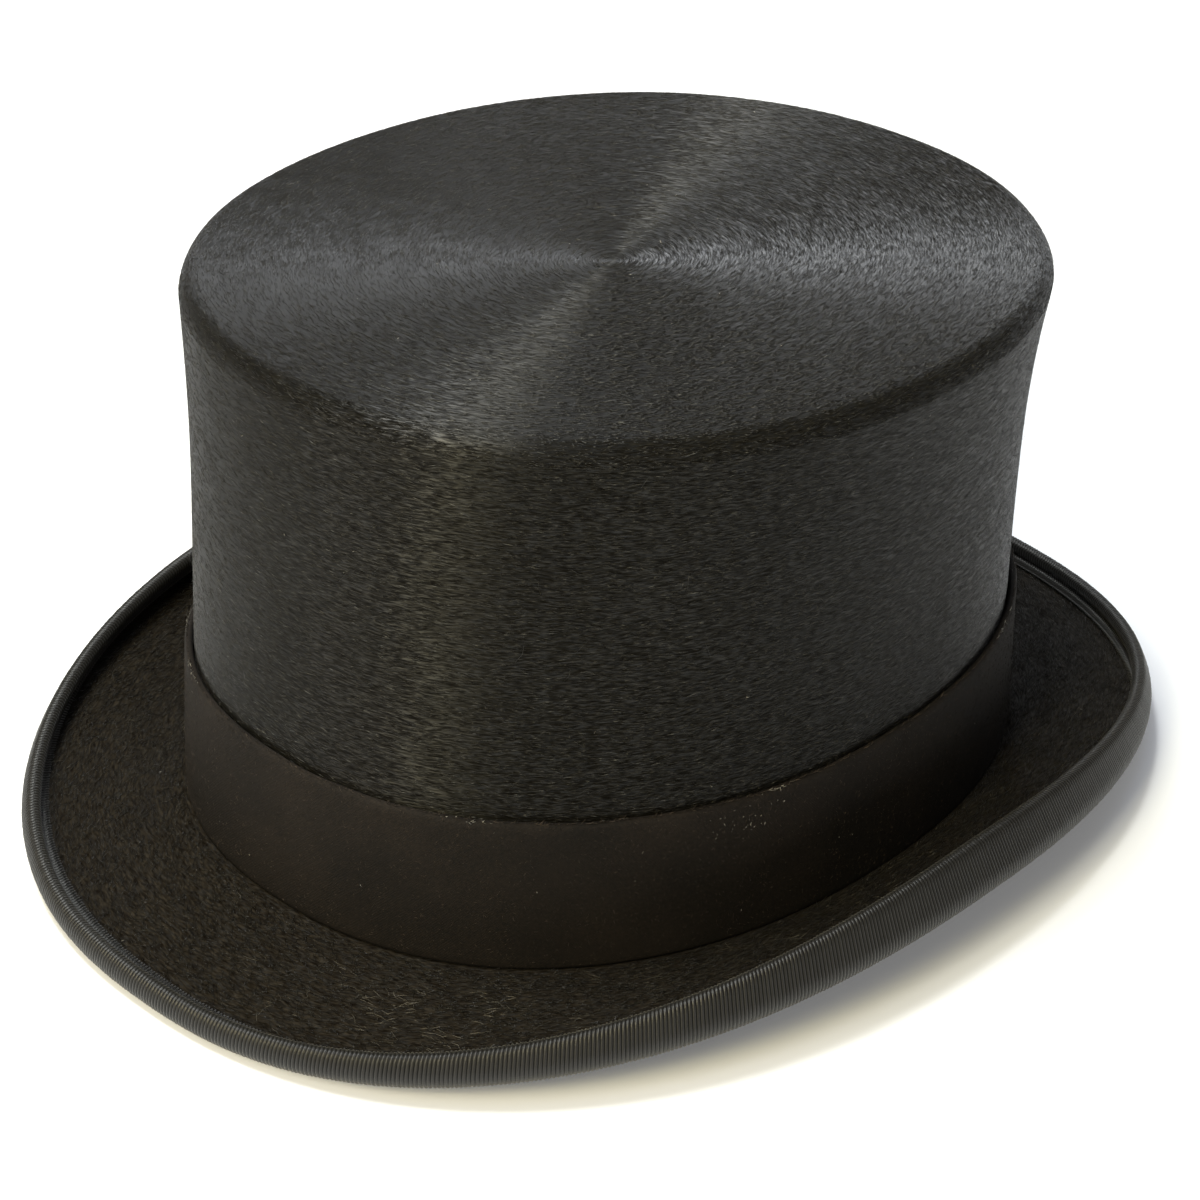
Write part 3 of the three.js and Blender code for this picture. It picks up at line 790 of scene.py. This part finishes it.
def slab(name, grid, thickness, material, nodes=()):
    """A closed thin piece from a sheet of points, with half its thickness on each side and rounded edges."""
    grid = np.asarray(grid)
    rows, cols = grid.shape[:2]
    du = np.gradient(grid, axis=0)
    dv = np.gradient(grid, axis=1)
    normal = unit(np.cross(du, dv))
    i, j = np.meshgrid(np.arange(rows), np.arange(cols), indexing="ij")
    rim = (i == 0) | (i == rows - 1) | (j == 0) | (j == cols - 1)
    half = np.where(rim, 0.25, 0.5)[..., None] * thickness * MM
    points = np.concatenate([(grid + half * normal).reshape(-1, 3), (grid - half * normal).reshape(-1, 3)])
    a = (i * cols + j)[:-1, :-1].ravel()
    top = np.stack([a, a + cols, a + cols + 1, a + 1], -1)
    n = rows * cols
    spots = np.arange(n).reshape(rows, cols)
    ring = np.concatenate([spots[0], spots[1:, -1], spots[-1, -2::-1], spots[-2:0:-1, 0]])
    after = np.roll(ring, -1)
    side = np.stack([ring, after, after + n, ring + n], -1)
    along = unit(np.concatenate([dv.reshape(-1, 3)] * 2))
    across = np.concatenate([(i * np.linalg.norm(du, axis=-1).mean()).ravel()] * 2)
    round_it = np.concatenate([(j * np.linalg.norm(dv, axis=-1).mean()).ravel()] * 2)
    # The rib mark is a stripe across the piece; ribbon_material paints its valleys darker, a painted shade in
    # the grooves.
    marks = {"along": along, "across": across, "round": round_it,
             "rib": 0.5 + 0.5 * np.sin(round_it / MM * 6)}
    faces = np.concatenate([top, (top + n)[:, ::-1], side])
    return build(name, points, [faces], material, nodes, marks)


SWEAT = dict(outer=-3.9, inner=-4.6, top=44.0)
REED = dict(offset=-3.0, z=-2.1, radius=0.7, hook=0.9)


def round_reed(phi, degrees, radius):
    angle = math.radians(degrees)
    return metres(phi, wall_radius(phi, 0, REED["offset"] + radius * math.cos(angle)),
                  REED["z"] + radius * math.sin(angle))


def sweat_offset(phi, z):
    """The leather's inner face: a tooled line under the top edge, and the reed's seam above the hook."""
    line = 0.16 * np.exp(-((z - 40.6) / 0.35) ** 2) + 0.14 * np.exp(-((z - 3.2) / 0.6) ** 2)
    return SWEAT["inner"] + line - 0.10 * (1 + waves(phi, z, 1.0, UNEVEN)) * np.clip((44 - z) / 8, 0, 1)


def sweatband():
    phi = stations(480)
    hook = REED["hook"]
    thick = SWEAT["outer"] - SWEAT["inner"]
    inside = [round_reed(phi, d, hook) for d in (360, 335, 310, 285, 260, 235, 210, 185)]
    inside += [metres(phi, wall_radius(phi, z, SWEAT["outer"]), z) for z in (2, 10, 20, 30, 40, 43.5)]
    top = SWEAT["top"] + waves(phi, 0, 0.12, UNEVEN)
    crest = [metres(phi, wall_radius(phi, 44, (SWEAT["outer"] + SWEAT["inner"]) / 2), top)]
    levels = np.concatenate([[43.6, 43, 42, 41.4], np.linspace(41, 40.2, 5), np.linspace(39.5, 4.6, 26),
                             np.linspace(4.2, 2.2, 7), [1, -0.5]])
    face = [metres(phi, wall_radius(phi, z, sweat_offset(phi, z)), z) for z in levels]
    under = [round_reed(phi, d, hook + thick) for d in (185, 210, 235, 260, 285, 310, 335, 360)]
    rows = inside + crest + face + under
    piece = ring_piece("sweatband_leather", rows, leather, "leather", ["sweatband"])


def reed():
    phi = stations(1160)
    wrap = 0.05 * np.tile([0, 0.7, 1, 0.7], 290)
    radius = REED["radius"] - 0.05 + wrap
    rows = [metres(phi, wall_radius(phi, 0, REED["offset"] + radius * math.cos(a)),
                   REED["z"] + radius * math.sin(a))
            for a in np.linspace(0, 2 * math.pi, 10, endpoint=False)]
    rows = np.asarray(rows)
    # Tone follows the wrap: lighter on the crests, darker between the wraps, a painted shade in the valleys.
    marks = {"tone": np.broadcast_to(0.3 + 12 * wrap, rows.shape[:2]).ravel()}
    build("sweatband_reed_wrapped", rows.reshape(-1, 3), [quads(*rows.shape[:2], True)], reed_thread,
          ["sweatband_reed"], marks)


def inner_face(phi, z):
    return metres(phi, wall_radius(phi, z, sweat_offset(phi, z)), z)


def inward(phi):
    return -np.stack([np.cos(phi), np.sin(phi), 0 * phi], -1)


def sweatband_stitches():
    """A zigzag above the reed, and a fine running stitch in the tooled line below the top edge."""
    count = 210
    step = 2 * math.pi / count
    phi = stations(count)
    starts = np.concatenate([inner_face(phi, 1.6), inner_face(phi + step / 2, 4.4)])
    ends = np.concatenate([inner_face(phi + step / 2, 4.4), inner_face(phi + step, 1.6)])
    middle = np.concatenate([phi + step / 4, phi + 3 * step / 4])
    threads("sweatband_reed_stitches", starts, ends, inward(middle), 0.17 * MM, 0.22 * MM, stitch_thread)
    count = 250
    phi = stations(count)
    step = 2 * math.pi / count
    gap = 0.22 * step
    threads("sweatband_top_stitches", inner_face(phi, 40.6), inner_face(phi + step - gap, 40.6),
            inward(phi + step / 2), 0.13 * MM, 0.2 * MM, stitch_thread)


BACK = math.pi / 2


def stitch_rows(name, levels, spread, offset, length, facing, radius, height, material):
    """Two upright rows of stitches either side of the back; `facing` is 1 inwards and -1 outwards."""
    angle = np.concatenate([BACK + math.radians(a) + 0 * levels for a in (-spread, spread)])
    low = np.concatenate([levels, levels])
    start, end = (metres(angle, wall_radius(angle, z, offset), z) for z in (low, low + length))
    threads(name, start, end, facing * inward(angle), radius * MM, height * MM, material)


def seam_tape():
    phi = BACK + np.radians(np.linspace(-2.6, 2.6, 14))
    z = np.linspace(14, 42, 36)
    p, h = np.meshgrid(phi, z, indexing="ij")
    offset = -5.14 + 0.06 * np.sin(h * 1.3) * np.cos(40 * (p - BACK))
    slab("sweatband_seam_leather", metres(p, wall_radius(p, h, offset), h), 0.45, leather,
         ["sweatband_seam_tape"])
    stitch_rows("sweatband_seam_stitches", np.arange(15.2, 41, 2.1), 2.0, -5.4, 1.5, 1, 0.13, 0.18,
                stitch_thread)


def bow_point(x, y, z):
    return np.stack(np.broadcast_arrays(x, y, z + LIFT), -1) * MM


def bow():
    """A flat tied bow: two loops of thin ribbon that fold back on themselves, a knot and two short ends."""
    t, v = np.meshgrid(np.linspace(0, 1, 34), np.linspace(-1, 1, 13), indexing="ij")
    swell = np.sin(math.pi * t)
    half = 1.0 + 2.9 * swell ** 0.8 - 0.5 * t
    crease = 0.10 * np.sin(5 * v + 2) * (1 - swell)
    for name, sign in (("left", 1), ("right", -1)):
        x = sign * (1.2 + 9.4 * swell)
        y = 98.65 + 0.42 * np.cos(math.pi * t) + crease + 0.10 * v * v * swell
        slab(f"sweatband_bow_loop_{name}", bow_point(x, y, 6 + v * half + 0.4 * swell), 0.16, bow_ribbon,
             ["sweatband_bow"] if sign == 1 else ())
        t2, v2 = np.meshgrid(np.linspace(0, 1, 16), np.linspace(-1, 1, 7), indexing="ij")
        x = sign * (0.8 + 5.2 * t2 + 1.2 * v2 * (0.4 + t2) - 0.8 * v2 * t2)
        z = 5.2 - 7.4 * t2 + 1.3 * v2 * (0.6 + 0.7 * t2) - 0.8 * np.abs(v2) * (t2 > 0.97)
        y = 98.9 + 0.25 * np.sin(3 * t2 + sign) + 0.05 * v2
        slab(f"sweatband_bow_end_{name}", bow_point(x, y, z), 0.16, bow_ribbon)
    turns = stations(40)
    rows = []
    for share in np.linspace(-1, 1, 13):
        bulge = 1 - 0.35 * share ** 2 - 0.06 * math.sin(9 * share)
        y = 97.7 + 0.72 * bulge * np.cos(turns)
        z = 6 + 2.5 * bulge * np.sin(turns) + 0.12 * np.sin(3 * turns + 2 * share)
        rows.append(bow_point(share * 2.1 + 0 * turns, y, z))
    first, last = bow_point(-2.12, 97.7, 6.0), bow_point(2.12, 97.7, 6.0)
    capped_piece("sweatband_bow_tie", rows, first, last, bow_ribbon, ["sweatband_bow_knot"])


def lining_fold(phi, z):
    """Depth of the soft vertical folds of the side lining, inwards, which deepen above the sweatband."""
    free = np.clip((z - 46) / 60, 0, 1)
    shape = 0.5 + 0.5 * np.sin(34 * phi + 1.4 * np.sin(3 * phi) + 0.02 * z)
    broad = 0.5 * free * (0.5 + 0.5 * np.sin(7 * phi + 1))
    return (0.12 + 1.5 * free * free * (3 - 2 * free)) * shape ** 1.5 + broad


def linings():
    phi = stations(720)
    levels = np.concatenate([np.linspace(16, 46, 8), np.linspace(50, EDGE_Z - 1, 26)])
    outer = [metres(phi, wall_radius(phi, z, -3.02 - lining_fold(phi, z)), z) for z in levels]
    inner = [metres(phi, wall_radius(phi, z, -3.36 - lining_fold(phi, z)), z) for z in levels]
    side = ring_piece("lining_side_satin", inner[::-1] + outer, satin, "satin", ["lining_side"])
    n = 240
    phi = stations(n)

    def disc(offset, share):
        rim = wall_radius(phi, EDGE_Z, -EDGE_RADIUS)
        pucker = 0.35 * share ** 6 * np.sin(40 * phi) * (share < 1) - 0.9 * share ** 2
        height = CROWN_HEIGHT + offset + 0.6 + pucker * 0.5
        return metres(phi, rim * share, height)

    def turned(offset, degrees):
        angle = math.radians(degrees)
        radius = EDGE_RADIUS + offset
        return metres(phi, wall_radius(phi, EDGE_Z, radius * math.cos(angle) - EDGE_RADIUS),
                      EDGE_Z + radius * math.sin(angle) + 0.15)

    shares = np.linspace(0.05, 0.99, 26)
    under = [disc(-3.4, s) for s in shares] + [turned(-3.4, d) for d in (70, 45, 20)]
    over = [turned(-3.05, d) for d in (20, 45, 70)] + [disc(-3.05, s) for s in shares[::-1]]
    low = np.array([0, 0, CROWN_HEIGHT - 3.4 + 0.6 + LIFT]) * MM
    high = np.array([0, 0, CROWN_HEIGHT - 3.05 + 0.6 + LIFT]) * MM
    tip = capped_piece("lining_tip_satin", under + over, low, high, satin, ["lining_tip"])
    phi = stations(1600)
    twist = 0.10 * np.sin(200 * phi)
    rows = [metres(phi, wall_radius(phi, EDGE_Z - 1.5, -5.6 + (0.62 + twist) * math.cos(a)),
                   EDGE_Z - 1.6 + (0.62 + twist) * math.sin(a) + 0.05 * np.sin(200 * phi + a))
            for a in np.linspace(0, 2 * math.pi, 10, endpoint=False)]
    ring_piece("lining_seam_cord", rows, satin, "satin")


def band_tab():
    phi = BACK + np.radians(np.linspace(-4, 4, 22))
    share = np.linspace(0, 1, 44)
    p, s = np.meshgrid(phi, share, indexing="ij")
    bottom = standing_z(p, 3.1, 1.9)
    z = bottom + (band_top(p) + 0.1 - bottom) * s
    offset = 2.82 + waves(p, z, 0.05, UNEVEN) - 0.2 * ((p - BACK) / math.radians(4)) ** 4
    tab = slab("hat_band_join", metres(p, wall_radius(p, z, offset), z), 0.6, band_cloth,
               ["hat_band_tab"])
    stitch_rows("hat_band_join_stitches", np.arange(3.5, 36, 2.6), 3.3, 3.05, 1.7, -1, 0.12, 0.16,
                band_fuzz)


# ---- camera, floor and light ----

PHOTO_WIDTH = 1200
CAMERA = dict(azimuth=42.619, elevation=30.942, roll=1.89, distance=691.383, focal_pixels=2873.801,
              aim_height=33.98, aim_side=-2.728)
LAMP_DISTANCE = 1.6
LAMP_SIZE = 0.45


def camera():
    """The camera fitted to the photo's outlines, which aims at the middle of the picture."""
    azimuth, elevation, roll = (math.radians(CAMERA[key]) for key in ("azimuth", "elevation", "roll"))
    back = Vector((math.sin(azimuth) * math.cos(elevation), -math.cos(azimuth) * math.cos(elevation),
                   math.sin(elevation)))
    level = Vector((math.cos(azimuth), math.sin(azimuth), 0))
    above = level.cross(-back).normalized()
    right = level * math.cos(roll) + above * math.sin(roll)
    up = above * math.cos(roll) - level * math.sin(roll)
    spot = (Vector((0, 0, (CAMERA["aim_height"] + LIFT) * MM)) + level * (CAMERA["aim_side"] * MM)
            + back * (CAMERA["distance"] * MM))
    made = bpy.data.cameras.new("camera")
    made.sensor_width = 36
    made.lens = CAMERA["focal_pixels"] / PHOTO_WIDTH * made.sensor_width
    made.clip_start = 0.01
    eye = placed("camera", made)
    frame_axes = Matrix((right, up, back)).transposed().to_4x4()
    frame_axes.translation = spot
    eye.matrix_world = frame_axes
    bpy.context.scene.camera = eye


def lamp(name, azimuth, elevation, power, color):
    """A square soft box that faces a point near the middle of the hat."""
    a, e = math.radians(azimuth), math.radians(elevation)
    spot = Vector((math.cos(a) * math.cos(e), math.sin(a) * math.cos(e), math.sin(e))) * LAMP_DISTANCE
    target = Vector((0, 0, 0.06))
    light = bpy.data.lights.new(name, "AREA")
    light.shape = "RECTANGLE"
    light.size = light.size_y = LAMP_SIZE
    light.energy = power
    light.color = color
    made = placed(name, light)
    made.matrix_world = (spot - target).to_track_quat("Z", "Y").to_matrix().to_4x4()
    made.location = spot + target


def stage():
    """A pale floor that glows a little, and an even dim surround."""
    look = Look("pale_floor")
    diffuse = look.add("BsdfDiffuse", {"Color": (0.77, 0.79, 0.84, 1)}).outputs[0]
    glow = look.add("Emission", {"Color": (1, 1, 1, 1), "Strength": 0.14}).outputs[0]
    both = look.add("AddShader", {0: diffuse, 1: glow}).outputs[0]
    look.add("OutputMaterial", {"Surface": both})
    mesh = bpy.data.meshes.new("floor")
    w = 6.0
    mesh.from_pydata([(-w, -w, 0), (w, -w, 0), (w, w, 0), (-w, w, 0)], [], [(0, 1, 2, 3)])
    mesh.materials.append(look.material)
    placed("floor", mesh)
    world = bpy.data.worlds.new("studio")
    world.use_nodes = True
    background = world.node_tree.nodes["Background"].inputs
    background["Color"].default_value = (1, 0.98, 0.94, 1)
    background["Strength"].default_value = 0.20
    bpy.context.scene.world = world
    bpy.context.scene.view_settings.view_transform = "Standard"


camera()
stage()
# Soft boxes round the hat: azimuth and elevation in degrees, watts and colour.
SOFT_BOXES = (
    (-137.4, 75, 25.11, (0.985, 1.000, 0.960)),
    (-77.4, 35, 14.50, (1.000, 0.880, 0.500)),
    (-90.0, 48, 2.52, (0.995, 0.998, 1.000)),
    (132.6, 20, 3.30, (0.900, 0.940, 1.000)),
    (-77.4, 50, 4.20, (1.000, 0.880, 0.580)),
    (-107.4, 20, 3.29, (1.000, 0.911, 0.787)),
    (-92.4, 35, 2.95, (1.000, 0.837, 0.620)),
    (-47.4, 75, 2.56, (0.743, 0.833, 1.000)),
    (132.6, 8, 1.00, (1.000, 0.989, 0.905)),
    (102.6, 20, 1.15, (0.904, 0.950, 1.000)),
    (165.0, 62, 2.18, (0.900, 0.989, 1.000)),
    (-12.4, 15, 0.63, (1.000, 0.900, 0.720)),
)
for number, (azimuth, elevation, power, color) in enumerate(SOFT_BOXES):
    lamp(f"soft_box_{number}", azimuth, elevation, power, color)

crown_felt()
brim_layer("brim_felt_top", 0.3, 0.75, 1.2, brim_nap, "brim_felt_upper", 0.12)
under_cloth = brim_layer("brim_cloth_below", -3.5, -1.1, -0.5, under_nap, "brim_cloth_under", 0.0)
binding()
hat_band()
band_tab()
sweatband()
reed()
sweatband_stitches()
seam_tape()
bow()
linings()
for part in ("a", "b"):
    laid_nap(f"crown_side_nap_{part}", 32000, wall_point, (36, EDGE_Z + 1), (1.6, 4.0), CROWN_HAIR,
             crown_hair, (-0.04, 0.13))
laid_nap("crown_edge_nap", 6000, edge_point, (0, math.pi / 2), (1.4, 3.4), CROWN_HAIR, crown_hair,
         (-0.04, 0.16))
crown_tip_nap(33000)
stray_hairs(260)
brim_top_nap(26000)
laid_nap("brim_under_nap", 12000, brim_under_point, (0.02, 0.98), (1.5, 3.2), 0.06, brim_hair,
         (0.1, 0.35), 2.5)
laid_nap("hat_band_fuzz", 26000, band_point, (0.02, 0.985), (0.5, 1.5), 0.045, band_fuzz)
band_edge_fibres(1500)
specks()
for node, material in (("crown_shell_side", shellac_linen), ("crown_shell_tip", shellac_linen),
                       ("brim_board", shellac_linen), ("robin_strip", linen)):
    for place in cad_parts[node].material_slots:
        place.material = material
